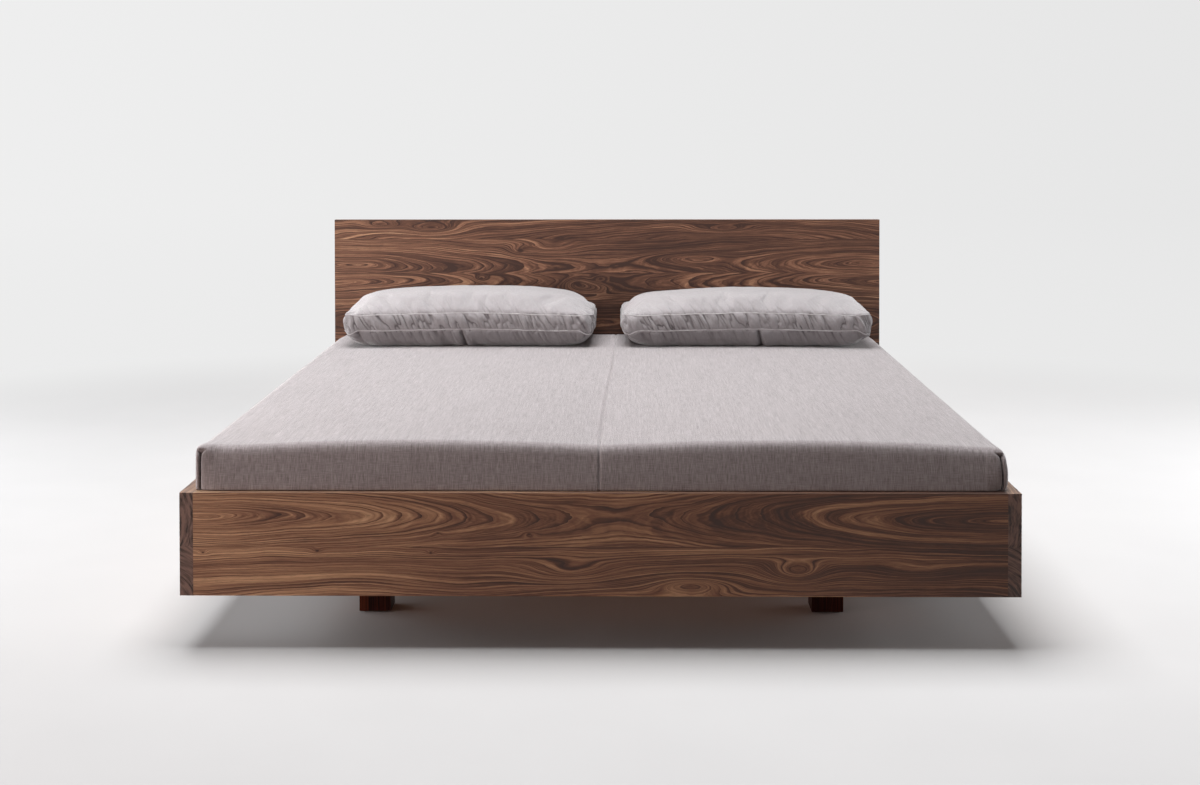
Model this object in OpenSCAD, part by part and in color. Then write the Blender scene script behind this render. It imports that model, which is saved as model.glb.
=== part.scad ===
// Floating solid-wood double bed: a walnut frame on set-back feet, a plain headboard,
// two slatted bases, two mattresses under one tailored cover, and two boxed pillows.
// Origin: on the floor, under the middle of the bed. +X is the right side seen from the
// foot end, +Y points to the headboard and +Z is up. Millimetres.

/* [Bed size] */
// Nominal width of one of the two mattresses
mattress_w = 900; // [860:10:1000]
// Nominal length of the mattresses
mattress_l = 2000; // [1900:10:2200]
// Space between the bedding and the frame on each side
bedding_gap = 5; // [3:1:10]
// Thickness of the walnut boards
board_t = 30; // [26:1:40]
// Height of the side rails and the foot rail
side_h = 230; // [230:5:260]
// Floor to the underside of the frame
floor_gap = 120; // [100:5:220]
// Top of the headboard above the floor
headboard_top = 836; // [760:2:1000]

/* [Feet] */
// Width of a foot
foot_w = 75; // [60:5:100]
// Depth of a foot, along the bed
foot_d = 75; // [60:5:100]
// Middle of a foot from the bed's centreline
foot_x = 541; // [401:5:746]
// Middle of a foot from the end of the bed
foot_inset = 320; // [250:5:700]
// Thickness of the felt glide under a foot
glide_t = 3; // [2:1:5]

/* [Substructure] */
// Frame's top edge down to the level that the slatted bases rest on
rest_drop = 160; // [140:5:160]
// Width of a ledger
ledger_w = 35; // [30:1:45]
// Height of a ledger
ledger_h = 40; // [30:1:44]
// Width of the cross beams and of the centre beam
beam_w = 60; // [50:2:80]
// Thickness of the steel brackets and hangers
plate_t = 3; // [2:0.5:4]

/* [Slatted bases] */
// Number of slats in one base, an even number
slat_n = 26; // [20:2:28]
// Width of a slat
slat_w = 38; // [35:1:42]
// Thickness of a slat
slat_t = 8; // [6:1:10]
// Width of a base's side and end rails
base_rail_w = 25; // [20:1:30]
// Height of a base, from the ledger to the top of the slats
base_h = 62; // [55:1:70]

/* [Bedding] */
// Thickness of a mattress
mattress_t = 190; // [160:5:220]
// Thickness of the cover's cloth
cover_t = 2.5; // [2:0.5:4]
// Length of the cover's skirt, from the top down
skirt_h = 155; // [120:5:160]
// Width of a pillow
pillow_w = 832; // [700:4:832]
// Depth of a pillow
pillow_l = 356; // [320:4:450]
// Thickness of a pillow
pillow_t = 170; // [130:2:190]

/* [Hidden] */
$fn = 32;

// Sides of the bed and its two ends, as signs on X and Y
LEFT = -1;
RIGHT = 1;
FRONT = -1;
REAR = 1;

// The frame
inner_w = 2 * mattress_w + 2 * bedding_gap;
inner_l = mattress_l + 2 * bedding_gap;
bed_w = inner_w + 2 * board_t;
bed_l = inner_l + 2 * board_t;
frame_top = floor_gap + side_h;
rest_z = frame_top - rest_drop;
well_x = inner_w / 2;
well_y = inner_l / 2;

// The substructure
beam_h = rest_z - floor_gap;
foot_y = bed_l / 2 - foot_inset;
centre_beam_z = floor_gap + plate_t;
lap_z = floor_gap + beam_h / 2;
bracket_leg = 60;
bracket_h = 54;
bracket_z = floor_gap + 8;
ledger_start = well_y - bracket_leg - 5;
beam_bracket_leg = 40;
beam_bracket_h = 26;
hanger_l = 50;
hanger_flange = 22;

// Fasteners
screw_d = 5;
screw_head_d = 10;
screw_head_h = 3;
bolt_d = 8;
bolt_l = beam_h + 50;
bolt_pitch = 40;
bolt_head_h = 5.5;
washer_d = 22;
washer_t = 2;
dowel_d = 12;
dowel_l = 54;
dowel_in_side = 20;
hole_play = 0.1;
ledger_screw_n = 7;

// A slatted base, at X from base_x0 to base_x1 on the right side of the bed
base_side_play = 5;
base_x0 = 4;
base_x1 = well_x - base_side_play;
base_w = base_x1 - base_x0;
base_l = mattress_l - 10;
base_rail_h = base_h - 7;
cap_reach = 30;
cap_hold = 22;
cap_h = 18;
cap_wall = 4;
slat_pitch = (base_l - 2 * base_rail_w) / slat_n;
slat_l = base_w - 2 * base_rail_w - 2 * (cap_reach - cap_hold);
slat_top = rest_z + base_h;
cap_l = slat_pitch + slat_w + 2 * cap_wall;
slot_play = 0.2;
strap_w = 40;
strap_t = 2;

// The bedding
body_play = 0.5;
mattress_z = slat_top + body_play;
mattress_top = mattress_z + mattress_t;
cover_x = well_x - bedding_gap + 1;
cover_y = well_y - bedding_gap + 1;
cover_top = mattress_top + cover_t;
corner_r = 30;
mattress_x0 = 2;
mattress_x1 = cover_x - cover_t;
mattress_y = cover_y - cover_t;
pillow_z = cover_top + body_play;
pillow_left_x = -mattress_w / 2;
pillow_right_x = mattress_w / 2 + 12;
pillow_y = well_y - 5 - pillow_l / 2;
pillow_r = 70;
seam_low = 0.32 * pillow_t;
seam_high = 0.62 * pillow_t;
underside_inset = 60;
crown_inset = 110;

walnut = "#6f4a35";
beech = "#d8b98c";
steel = "#9a9c9f";
rubber = "#8b8378";
cloth = "#b5adb0";
ticking = "#e8e4dc";
felt = "#4b4542";

// A box from its low corner to its high corner
module block(low, high) {
    translate(low) cube(high - low);
}

// The same part on both ends of the bed and both sides: children are drawn for the right rear
module each_corner() {
    for (sx = [LEFT, RIGHT], sy = [FRONT, REAR])
        scale_sign(sx, sy) children();
}

// Reflects its children to one side and one end
module scale_sign(sx, sy) {
    mirror([sx < 0 ? 1 : 0, 0, 0]) mirror([0, sy < 0 ? 1 : 0, 0]) children();
}

// A countersunk screw whose flat head lies at the origin, with its shank along -Z
module screw(len, play = 0) {
    translate([0, 0, -len]) cylinder(d = screw_d + 2 * play, h = len - screw_head_h + 0.01);
    translate([0, 0, -screw_head_h - play])
        cylinder(d1 = screw_d + 2 * play, d2 = screw_head_d + 2 * play, h = screw_head_h + play);
}

module driven_screw(len) {
    difference() {
        screw(len);
        translate([0, 0, -2]) cylinder(d = 4, h = 3, $fn = 6);
    }
}

// Turns its children's +Z to point along +X, -X, +Y or -Y
module facing(axis) {
    rotate(axis == "+x" ? [0, 90, 0] : axis == "-x" ? [0, -90, 0] : axis == "+y" ? [-90, 0, 0] : [90, 0, 0])
        children();
}

// ---- Fastener places, each drawn once as fasteners and once as their holes ----

// Screws through one ledger into its side rail, for the right side
module at_ledger_screws() {
    span = 2 * (ledger_start - 60);
    for (i = [0 : ledger_screw_n - 1])
        translate([well_x - ledger_w, -span / 2 + span * i / (ledger_screw_n - 1), rest_z - ledger_h / 2])
            facing("-x") children();
}

// Screws through a corner bracket, for the right rear corner: two into each board
module at_corner_screws() {
    for (z = [bracket_z + 12, bracket_z + bracket_h - 12]) {
        translate([well_x - plate_t, well_y - bracket_leg + 16, z]) facing("-x") children();
        translate([well_x - bracket_leg + 16, well_y - plate_t, z]) facing("-y") children();
    }
}

// Screws through a cross beam's angle bracket, for the right rear one
module at_beam_screws() {
    z = floor_gap + ledger_bottom_gap() / 2;
    for (i = [0, 1]) {
        translate([well_x - plate_t, foot_y - beam_w / 2 - 14 - i * 18, z]) facing("-x") children();
        translate([well_x - 14 - i * 18, foot_y - beam_w / 2 - plate_t, z]) facing("-y") children();
    }
}

// Clear height under a ledger
function ledger_bottom_gap() = rest_z - ledger_h - floor_gap;

// Screws through the hanger's flanges at the rear end
module at_hanger_screws() {
    for (sx = [LEFT, RIGHT], z = [centre_beam_z + 14, rest_z - 16])
        translate([sx * (beam_w / 2 + plate_t + hanger_flange / 2), well_y - plate_t, z])
            facing("-y") children();
}

// A bolt's hole, from just above the cross beam's top down to a depth
module bolt_hole(depth) {
    translate([0, 0, -depth - 1]) cylinder(d = bolt_d + 2 * hole_play, h = depth + 2);
}

// Bolts through a cross beam into a foot, for the right rear foot
module at_foot_bolts() {
    for (i = [-1, 1])
        translate([foot_x + i * bolt_pitch / 2, foot_y, rest_z]) children();
}

// Heights of the dowels between the side rails and the boards at their ends
function dowel_heights() = [floor_gap + 30, floor_gap + side_h / 2, frame_top - 30];

// Dowels along X, from a side rail into the foot rail's end grain, for the right side
module at_foot_rail_dowels(play = 0) {
    for (z = dowel_heights())
        translate([well_x + dowel_in_side - dowel_l, -well_y - board_t / 2, z])
            rotate([0, 90, 0]) cylinder(d = dowel_d + 2 * play, h = dowel_l);
}

// Dowels along Y, from a side rail's end grain into the headboard, for the right side
module at_headboard_dowels(play = 0) {
    for (z = dowel_heights())
        translate([well_x + board_t / 2, well_y + dowel_in_side - dowel_l, z])
            rotate([-90, 0, 0]) cylinder(d = dowel_d + 2 * play, h = dowel_l);
}

// ---- Walnut frame ----

module headboard() {
    color(walnut) difference() {
        block([-bed_w / 2, well_y, floor_gap], [bed_w / 2, bed_l / 2, headboard_top]);
        for (sx = [LEFT, RIGHT]) scale_sign(sx, REAR) {
            at_headboard_dowels(hole_play);
            at_corner_screws() screw(22, hole_play);
        }
        at_hanger_screws() screw(22, hole_play);
    }
}

module side_rail(side) {
    color(walnut) scale_sign(side, REAR) difference() {
        block([well_x, -bed_l / 2, floor_gap], [bed_w / 2, well_y, frame_top]);
        at_foot_rail_dowels(hole_play);
        at_headboard_dowels(hole_play);
        at_ledger_screws() screw(ledger_w + 18, hole_play);
        for (sy = [FRONT, REAR]) scale_sign(RIGHT, sy) {
            at_corner_screws() screw(22, hole_play);
            at_beam_screws() screw(20, hole_play);
        }
    }
}

module foot_rail() {
    color(walnut) difference() {
        block([-well_x, -bed_l / 2, floor_gap], [well_x, -well_y, frame_top]);
        for (sx = [LEFT, RIGHT]) scale_sign(sx, REAR) at_foot_rail_dowels(hole_play);
        for (sx = [LEFT, RIGHT]) scale_sign(sx, FRONT) at_corner_screws() screw(22, hole_play);
        scale_sign(RIGHT, FRONT) at_hanger_screws() screw(22, hole_play);
    }
}

module corner_dowels() {
    color(beech) for (sx = [LEFT, RIGHT]) scale_sign(sx, REAR) {
        at_foot_rail_dowels();
        at_headboard_dowels();
    }
}

// An angle plate standing in the inner corner of the right rear of the frame
module corner_angle() {
    difference() {
        union() {
            block([well_x - plate_t, well_y - bracket_leg, bracket_z],
                  [well_x, well_y, bracket_z + bracket_h]);
            block([well_x - bracket_leg, well_y - plate_t, bracket_z],
                  [well_x, well_y, bracket_z + bracket_h]);
        }
        at_corner_screws() screw(22, hole_play);
    }
}

module corner_bracket(sx, sy) {
    color(steel) scale_sign(sx, sy) corner_angle();
}

module corner_bracket_screws() {
    color(steel) each_corner() at_corner_screws() driven_screw(21);
}

// ---- Feet and substructure ----

module foot(sx, sy) {
    color(walnut) scale_sign(sx, sy) difference() {
        block([foot_x - foot_w / 2, foot_y - foot_d / 2, glide_t],
              [foot_x + foot_w / 2, foot_y + foot_d / 2, floor_gap]);
        at_foot_bolts() bolt_hole(bolt_l);
    }
}

module foot_glides() {
    inset = 8;
    color(felt) each_corner()
        block([foot_x - foot_w / 2 + inset, foot_y - foot_d / 2 + inset, 0],
              [foot_x + foot_w / 2 - inset, foot_y + foot_d / 2 - inset, glide_t]);
}

module foot_bolts() {
    color(steel) each_corner() at_foot_bolts() {
        translate([0, 0, -bolt_l + washer_t]) cylinder(d = bolt_d, h = bolt_l + 0.01);
        translate([0, 0, washer_t]) cylinder(d = 15, h = bolt_head_h, $fn = 6);
    }
}

module foot_bolt_washers() {
    color(steel) each_corner() at_foot_bolts() difference() {
        cylinder(d = washer_d, h = washer_t);
        translate([0, 0, -1]) cylinder(d = bolt_d + 2 * hole_play, h = washer_t + 2);
    }
}

// A cross beam over the two feet of one end, rebated under the ledgers and lapped over the centre beam
module cross_beam(end) {
    color(beech) scale_sign(RIGHT, end) difference() {
        block([-well_x, foot_y - beam_w / 2, floor_gap], [well_x, foot_y + beam_w / 2, rest_z]);
        for (sx = [LEFT, RIGHT]) scale_sign(sx, REAR) {
            block([well_x - ledger_w, foot_y - beam_w, rest_z - ledger_h],
                  [well_x + 1, foot_y + beam_w, rest_z + 1]);
            at_foot_bolts() bolt_hole(beam_h);
            at_beam_screws() screw(20, hole_play);
        }
        block([-beam_w / 2, foot_y - beam_w, lap_z], [beam_w / 2, foot_y + beam_w, rest_z + 1]);
    }
}

module centre_beam() {
    color(beech) difference() {
        block([-beam_w / 2, -well_y + plate_t, centre_beam_z], [beam_w / 2, well_y - plate_t, rest_z]);
        for (sy = [FRONT, REAR]) scale_sign(RIGHT, sy)
            block([-beam_w, foot_y - beam_w / 2, centre_beam_z - 1], [beam_w, foot_y + beam_w / 2, lap_z]);
    }
}

// A folded steel hanger: a seat under the beam's end, two cheeks and two screwed flanges
module hanger() {
    reach = beam_w / 2 + plate_t;
    difference() {
        union() {
            block([-reach, well_y - hanger_l, floor_gap], [reach, well_y, centre_beam_z]);
            for (sx = [LEFT, RIGHT]) scale_sign(sx, REAR) {
                block([beam_w / 2, well_y - hanger_l, floor_gap], [reach, well_y, rest_z - 4]);
                block([beam_w / 2, well_y - plate_t, floor_gap],
                      [reach + hanger_flange, well_y, rest_z - 4]);
            }
            block([-reach, well_y - plate_t, floor_gap], [reach, well_y, rest_z - 4]);
        }
        at_hanger_screws() screw(22, hole_play);
    }
}

module centre_beam_hangers() {
    color(steel) for (sy = [FRONT, REAR]) scale_sign(RIGHT, sy) hanger();
}

module hanger_screws() {
    color(steel) for (sy = [FRONT, REAR]) scale_sign(RIGHT, sy) at_hanger_screws() driven_screw(21);
}

module ledger(side) {
    color(beech) scale_sign(side, REAR) difference() {
        block([well_x - ledger_w, -ledger_start, rest_z - ledger_h], [well_x, ledger_start, rest_z]);
        at_ledger_screws() screw(ledger_w + 18, hole_play);
    }
}

module ledger_screws() {
    color(steel) for (sx = [LEFT, RIGHT]) scale_sign(sx, REAR)
        at_ledger_screws() driven_screw(ledger_w + 17);
}

// An angle between a cross beam's end and the side rail, for the right rear
module beam_angle() {
    y1 = foot_y - beam_w / 2;
    z0 = floor_gap + (ledger_bottom_gap() - beam_bracket_h) / 2;
    difference() {
        union() {
            block([well_x - plate_t, y1 - beam_bracket_leg, z0], [well_x, y1, z0 + beam_bracket_h]);
            block([well_x - beam_bracket_leg, y1 - plate_t, z0], [well_x, y1, z0 + beam_bracket_h]);
        }
        at_beam_screws() screw(20, hole_play);
    }
}

module cross_beam_brackets() {
    color(steel) each_corner() beam_angle();
}

module cross_beam_screws() {
    color(steel) each_corner() at_beam_screws() driven_screw(19);
}

// ---- Slatted bases, drawn for the right side ----

module base_outer_rail(side) {
    color(beech) scale_sign(side, REAR)
        block([base_x1 - base_rail_w, -base_l / 2, rest_z], [base_x1, base_l / 2, rest_z + base_rail_h]);
}

module base_inner_rail(side) {
    color(beech) scale_sign(side, REAR)
        block([base_x0, -base_l / 2, rest_z], [base_x0 + base_rail_w, base_l / 2, rest_z + base_rail_h]);
}

module base_end_rail(side, end) {
    color(beech) scale_sign(side, end)
        block([base_x0 + base_rail_w, base_l / 2 - base_rail_w, rest_z],
              [base_x1 - base_rail_w, base_l / 2, rest_z + base_rail_h]);
}

// Middle of slat i along Y
function slat_y(i) = (i - (slat_n - 1) / 2) * slat_pitch;

module base_slats(side) {
    x0 = base_x0 + base_rail_w + cap_reach - cap_hold;
    color(beech) scale_sign(side, REAR) for (i = [0 : slat_n - 1])
        block([x0, slat_y(i) - slat_w / 2, slat_top - slat_t],
              [x0 + slat_l, slat_y(i) + slat_w / 2, slat_top]);
}

// A rubber cap on the inner rail's face, which holds the ends of slats i and i + 1
module slat_cap(i) {
    x0 = base_x0 + base_rail_w;
    middle = (slat_y(i) + slat_y(i + 1)) / 2;
    difference() {
        block([x0, middle - cap_l / 2, slat_top - cap_h], [x0 + cap_reach, middle + cap_l / 2, slat_top]);
        for (j = [i, i + 1])
            block([x0 + cap_reach - cap_hold, slat_y(j) - slat_w / 2 - slot_play, slat_top - slat_t],
                  [x0 + cap_reach + 1, slat_y(j) + slat_w / 2 + slot_play, slat_top + 1]);
    }
}

module base_slat_caps(side) {
    middle = (base_x0 + base_x1) / 2;
    color(rubber) scale_sign(side, REAR) for (i = [0 : 2 : slat_n - 2]) {
        slat_cap(i);
        translate([2 * middle, 0, 0]) mirror([1, 0, 0]) slat_cap(i);
    }
}

module base_strap(side) {
    middle = (base_x0 + base_x1) / 2;
    reach = base_l / 2 - base_rail_w;
    top = slat_top - slat_t;
    color(felt) scale_sign(side, REAR)
        block([middle - strap_w / 2, -reach, top - strap_t], [middle + strap_w / 2, reach, top]);
}

// ---- Bedding ----

// A slab with two rounded outer corners, for one side of the bed
module mattress(side) {
    r = corner_r - cover_t;
    color(ticking) scale_sign(side, REAR) translate([0, 0, mattress_z]) linear_extrude(mattress_t)
        union() {
            translate([mattress_x0, -mattress_y]) square([mattress_x1 - mattress_x0 - r, 2 * mattress_y]);
            translate([mattress_x0, -mattress_y + r])
                square([mattress_x1 - mattress_x0, 2 * (mattress_y - r)]);
            for (sy = [FRONT, REAR])
                translate([mattress_x1 - r, sy * (mattress_y - r)]) circle(r, $fn = 48);
        }
}

// Outline of the bedding, shrunk on every side
module bedding_outline(inset) {
    x = cover_x - inset;
    y = cover_y - inset;
    r = corner_r - inset;
    union() {
        translate([-x + r, -y]) square([2 * (x - r), 2 * y]);
        translate([-x, -y + r]) square([2 * x, 2 * (y - r)]);
        for (sx = [LEFT, RIGHT], sy = [FRONT, REAR])
            translate([sx * (x - r), sy * (y - r)]) circle(r, $fn = 48);
    }
}

module bed_cover() {
    color(cloth) difference() {
        translate([0, 0, cover_top - skirt_h]) linear_extrude(skirt_h) bedding_outline(0);
        translate([0, 0, cover_top - skirt_h - 1])
            linear_extrude(skirt_h + 1 - cover_t) bedding_outline(cover_t);
    }
}

// The pillow's outline over its height, for a half width of w
module pillow_profile(w) {
    half = [[w - underside_inset, 0], [w, seam_low], [w, seam_high],
            [w - underside_inset, 0.9 * pillow_t], [w - crown_inset, pillow_t]];
    last = len(half) - 1;
    polygon(concat(half, [for (i = [last : -1 : 0]) [-half[i].x, half[i].y]]));
}

module pillow(x) {
    r = pillow_r;
    color(cloth) translate([x, pillow_y, pillow_z]) intersection() {
        linear_extrude(pillow_t) union() {
            square([pillow_w - 2 * r, pillow_l], center = true);
            square([pillow_w, pillow_l - 2 * r], center = true);
            for (sx = [LEFT, RIGHT], sy = [FRONT, REAR])
                translate([sx * (pillow_w / 2 - r), sy * (pillow_l / 2 - r)]) circle(r, $fn = 48);
        }
        rotate([90, 0, 0]) translate([0, 0, -pillow_l / 2])
            linear_extrude(pillow_l) pillow_profile(pillow_w / 2);
        rotate([90, 0, 90]) translate([0, 0, -pillow_w / 2])
            linear_extrude(pillow_w) pillow_profile(pillow_l / 2);
    }
}

headboard();
side_rail(LEFT);  // side_rail_left
side_rail(RIGHT);  // side_rail_right
foot_rail();
ledger(LEFT);  // ledger_left
ledger(RIGHT);  // ledger_right
ledger_screws();
centre_beam();
centre_beam_hangers();
hanger_screws();
cross_beam(FRONT);  // cross_beam_front
cross_beam(REAR);  // cross_beam_rear
cross_beam_brackets();
cross_beam_screws();
foot(LEFT, FRONT);  // foot_front_left
foot(RIGHT, FRONT);  // foot_front_right
foot(LEFT, REAR);  // foot_rear_left
foot(RIGHT, REAR);  // foot_rear_right
foot_bolts();
foot_bolt_washers();
foot_glides();
corner_bracket(LEFT, FRONT);  // corner_bracket_front_left
corner_bracket(RIGHT, FRONT);  // corner_bracket_front_right
corner_bracket(LEFT, REAR);  // corner_bracket_rear_left
corner_bracket(RIGHT, REAR);  // corner_bracket_rear_right
corner_bracket_screws();
corner_dowels();
base_outer_rail(LEFT);  // left_base_outer_rail
base_inner_rail(LEFT);  // left_base_inner_rail
base_end_rail(LEFT, REAR);  // left_base_head_rail
base_end_rail(LEFT, FRONT);  // left_base_foot_rail
base_slats(LEFT);  // left_base_slats
base_slat_caps(LEFT);  // left_base_slat_caps
base_strap(LEFT);  // left_base_strap
base_outer_rail(RIGHT);  // right_base_outer_rail
base_inner_rail(RIGHT);  // right_base_inner_rail
base_end_rail(RIGHT, REAR);  // right_base_head_rail
base_end_rail(RIGHT, FRONT);  // right_base_foot_rail
base_slats(RIGHT);  // right_base_slats
base_slat_caps(RIGHT);  // right_base_slat_caps
base_strap(RIGHT);  // right_base_strap
mattress(LEFT);  // left_mattress
mattress(RIGHT);  // right_mattress
bed_cover();
pillow(pillow_left_x);  // left_pillow
pillow(pillow_right_x);  // right_pillow
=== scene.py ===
"""The looks of a low walnut platform bed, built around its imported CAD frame.

Metres, in the frame of the CAD model: +X is the bed's right side seen from the foot end, +Y points
to the headboard and +Z is up. The frame's boards, beams, slats and fittings are the CAD nodes with
new materials. The cover, the mattresses and the pillows are meshes that stand for plain CAD solids.
"""

import math
from collections import namedtuple

import bpy
import numpy as np
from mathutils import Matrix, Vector
from mathutils.kdtree import KDTree


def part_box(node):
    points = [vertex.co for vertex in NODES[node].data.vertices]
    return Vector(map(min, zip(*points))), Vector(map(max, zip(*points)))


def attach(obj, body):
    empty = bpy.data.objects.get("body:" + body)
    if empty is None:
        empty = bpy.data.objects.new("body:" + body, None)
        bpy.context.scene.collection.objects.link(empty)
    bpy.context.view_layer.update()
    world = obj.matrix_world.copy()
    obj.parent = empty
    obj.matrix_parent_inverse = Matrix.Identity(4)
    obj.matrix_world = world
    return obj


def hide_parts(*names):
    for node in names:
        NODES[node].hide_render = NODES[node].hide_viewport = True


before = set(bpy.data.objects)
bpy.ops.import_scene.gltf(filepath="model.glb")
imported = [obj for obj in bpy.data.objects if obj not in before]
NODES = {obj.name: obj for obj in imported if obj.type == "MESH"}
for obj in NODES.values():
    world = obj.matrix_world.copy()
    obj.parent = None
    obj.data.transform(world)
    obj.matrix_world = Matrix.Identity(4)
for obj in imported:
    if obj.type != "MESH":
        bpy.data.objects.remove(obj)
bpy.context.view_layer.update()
MM = 0.001


# -------- shader graphs

class Shader:
    """A material around one Principled shader. Each method adds a node and returns its output."""

    def __init__(self, name, **sockets):
        self.material = bpy.data.materials.new(name)
        self.material.use_nodes = True
        self.tree = self.material.node_tree
        self.tree.nodes.clear()
        self.output = self.add("OutputMaterial")
        self.bsdf = self.add("BsdfPrincipled")
        self.show(self.bsdf.outputs["BSDF"])
        for socket, value in sockets.items():
            self.bsdf.inputs[socket.replace("_", " ")].default_value = value

    def add(self, kind, **settings):
        node = self.tree.nodes.new("ShaderNode" + kind)
        for key, value in settings.items():
            setattr(node, key, value)
        return node

    def put(self, socket, value):
        if isinstance(value, bpy.types.NodeSocket):
            self.tree.links.new(value, socket)
        else:
            socket.default_value = value

    def fed(self, node, *values):
        """Puts the values in a node's first inputs and returns its first output."""
        for socket, value in zip(node.inputs, values):
            self.put(socket, value)
        return node.outputs[0]

    def show(self, surface):
        """Makes the output of a shader node the material's surface."""
        self.put(self.output.inputs["Surface"], surface)

    def math(self, operation, *values, clamp=False):
        return self.fed(self.add("Math", operation=operation, use_clamp=clamp), *values)

    def plus(self, a, b):
        return self.math("ADD", a, b)

    def minus(self, a, b):
        return self.math("SUBTRACT", a, b)

    def times(self, a, b):
        return self.math("MULTIPLY", a, b)

    def times_plus(self, a, b, c):
        return self.math("MULTIPLY_ADD", a, b, c)

    def vector(self, *values):
        return self.fed(self.add("CombineXYZ"), *values)

    def axes(self, output="Object"):
        """The three coordinates of the surface point, or of its normal, in the object's frame."""
        node = self.add("SeparateXYZ")
        self.put(node.inputs[0], self.add("TexCoord").outputs[output])
        return list(node.outputs)

    def noise(self, vector, detail=2.0, roughness=0.5):
        """Noise around 0.5 with one feature per unit of the vector."""
        node = self.add("TexNoise")
        values = {"Vector": vector, "Scale": 1.0, "Detail": detail, "Roughness": roughness}
        for socket, value in values.items():
            self.put(node.inputs[socket], value)
        return node.outputs["Fac"]

    def scaled(self, coordinates, *factors):
        return self.vector(*(self.times(c, f) for c, f in zip(coordinates, factors)))

    def speckle(self, *counts, detail=2.0, roughness=0.5):
        """Noise with so many features per metre along X, Y and Z, or one number for all three."""
        counts = counts if len(counts) == 3 else counts * 3
        return self.noise(self.scaled(self.axes(), *counts), detail, roughness)

    def ramp(self, factor, *stops):
        """A colour for each (position, colour) stop, or a grey for each (position, value)."""
        node = self.add("ValToRGB")
        self.put(node.inputs["Fac"], factor)
        elements = node.color_ramp.elements
        while len(elements) < len(stops):
            elements.new(1.0)
        for element, (position, colour) in zip(elements, stops):
            element.position = position
            rgb = colour if hasattr(colour, "__len__") else (colour,) * 3
            element.color = (*rgb, 1.0)
        return node.outputs["Color"]

    def mix(self, factor, a, b, blend="MIX"):
        node = self.add("Mix", data_type="RGBA", blend_type=blend)
        for index, value in ((0, factor), (6, a), (7, b)):
            is_colour = hasattr(value, "__len__") and not isinstance(value, bpy.types.NodeSocket)
            self.put(node.inputs[index], (*value, 1.0) if is_colour else value)
        return node.outputs[2]

    def colour(self, value):
        self.put(self.bsdf.inputs["Base Color"], value)

    def roughness(self, factor, low, high):
        self.put(self.bsdf.inputs["Roughness"], self.fed(self.add("MapRange"), factor, 0.0, 1.0, low, high))

    def bump(self, *heights):
        """Bumps the surface by each (height, distance in metres) pair in turn."""
        normal = None
        for height, distance in heights:
            node = self.add("Bump")
            node.inputs["Distance"].default_value = distance
            self.put(node.inputs["Height"], height)
            if normal is not None:
                self.put(node.inputs["Normal"], normal)
            normal = node.outputs["Normal"]
        self.put(self.bsdf.inputs["Normal"], normal)


# One glued-up stave of a board. low is its lower edge across the board, heart is where the middle of
# the growth rings lies across it, depth is how far behind the face the heart is at the place called
# middle along the board, and taper is how fast it sinks away from there. tone lightens the stave.
Stave = namedtuple("Stave", "low heart depth taper middle tone")
# A small knot: its place along and across the board, and its size.
Knot = namedtuple("Knot", "along across size")
# A place in the figure, with its half length and half height. In a swirl, lift is how far it moves
# the rings, in metres. In a patch, it is how much lighter the wood is.
Spot = namedtuple("Spot", "along across length height lift")

WALNUT = ((0.00, (0.038, 0.0150, 0.0090)), (0.25, (0.110, 0.0465, 0.0265)),
          (0.48, (0.254, 0.1235, 0.0715)), (0.70, (0.455, 0.2560, 0.1440)),
          (1.00, (0.745, 0.4900, 0.2880)))
END_GRAIN = ((0.40, (0.026, 0.015, 0.012)), (0.62, (0.240, 0.150, 0.120)))
PORE_COLOUR = (0.022, 0.011, 0.008)
GLUE_COLOUR = (0.05, 0.028, 0.02)
# Painted shade for faces that look up a board's across axis, such as the rail tops under the cover's edge
UPPER_FACE_SHADE_COLOUR = (0.060, 0.044, 0.038)
RINGS = 215.0          # growth rings per metre
BAND_STRENGTH = 1.80   # how much the wide colour bands count
NARROW_STRENGTH = 1.50
LATE_STRENGTH = 0.62   # the dark late wood at each ring's end
FIBRE_STRENGTH = 0.84
FACING = 0.8           # a face looks along an axis if its normal has at least this much of it
# Painted shade: the colour of the pillow cloth in its creases, on its gusset and on its underside
CREASE_SHADE_COLOUR = (0.060, 0.050, 0.053)


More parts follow.
